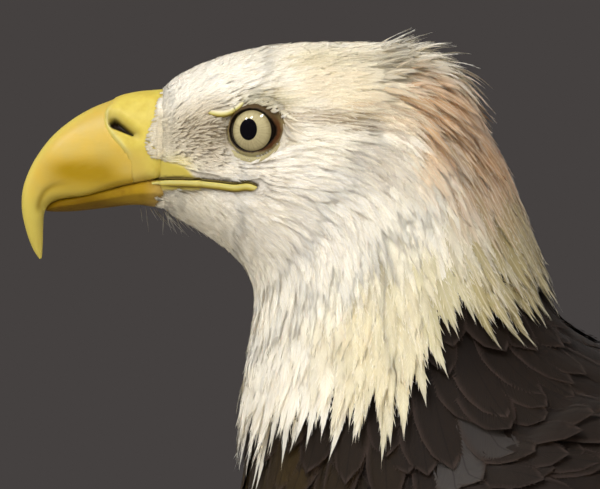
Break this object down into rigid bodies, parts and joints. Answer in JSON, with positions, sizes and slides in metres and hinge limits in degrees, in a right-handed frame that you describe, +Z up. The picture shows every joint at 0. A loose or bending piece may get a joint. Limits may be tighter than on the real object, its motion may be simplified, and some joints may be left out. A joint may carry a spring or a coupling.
{
  "type": "bald eagle",
  "caption": "Adult bald eagle standing on both feet, head raised and level, wings folded along the back, hooked yellow bill, white head and tail, dark brown body.",
  "frame": {"origin": "centre of the bounding box's base, on the floor between the feet", "axes": "+Z up, -Y the way the bird faces, +X its left side"},
  "size_m": [0.24, 0.5072, 0.6338],
  "materials": {
    "white_plumage": "soft overlapping white hackle feathers, cream on the crown and tan on the nape",
    "brown_plumage": "dark brown contour feathers with paler edges",
    "white_tail": "smooth white tail feathers",
    "bill_horn": "satin yellow horn",
    "yellow_skin": "smooth yellow bare skin",
    "scaled_skin": "yellow scaled skin",
    "black_claw": "glossy black claw",
    "pale_iris": "pale cream iris under a wet clear cornea"
  },
  "bodies": {
    "root": {"bill_lower": "bill_horn", "bill_upper": "bill_horn", "brow_left": "yellow_skin", "brow_right": "yellow_skin", "cere": "yellow_skin", "eye_left": "pale_iris", "eye_right": "pale_iris", "gape_left": "yellow_skin", "gape_right": "yellow_skin", "head": "white_plumage", "neck_lower": "white_plumage", "neck_upper": "white_plumage", "primaries_left": "brown_plumage", "primaries_right": "brown_plumage", "rump": "brown_plumage", "secondaries_left": "brown_plumage", "secondaries_right": "brown_plumage", "tail": "white_tail", "talon_hind_left": "black_claw", "talon_hind_right": "black_claw", "talon_inner_left": "black_claw", "talon_inner_right": "black_claw", "talon_middle_left": "black_claw", "talon_middle_right": "black_claw", "talon_outer_left": "black_claw", "talon_outer_right": "black_claw", "tarsus_left": "scaled_skin", "tarsus_right": "scaled_skin", "thigh_left": "brown_plumage", "thigh_right": "brown_plumage", "toe_hind_left": "scaled_skin", "toe_hind_right": "scaled_skin", "toe_inner_left": "scaled_skin", "toe_inner_right": "scaled_skin", "toe_middle_left": "scaled_skin", "toe_middle_right": "scaled_skin", "toe_outer_left": "scaled_skin", "toe_outer_right": "scaled_skin", "trunk": "brown_plumage", "wing_left": "brown_plumage", "wing_right": "brown_plumage"}
  },
  "joints": []
}
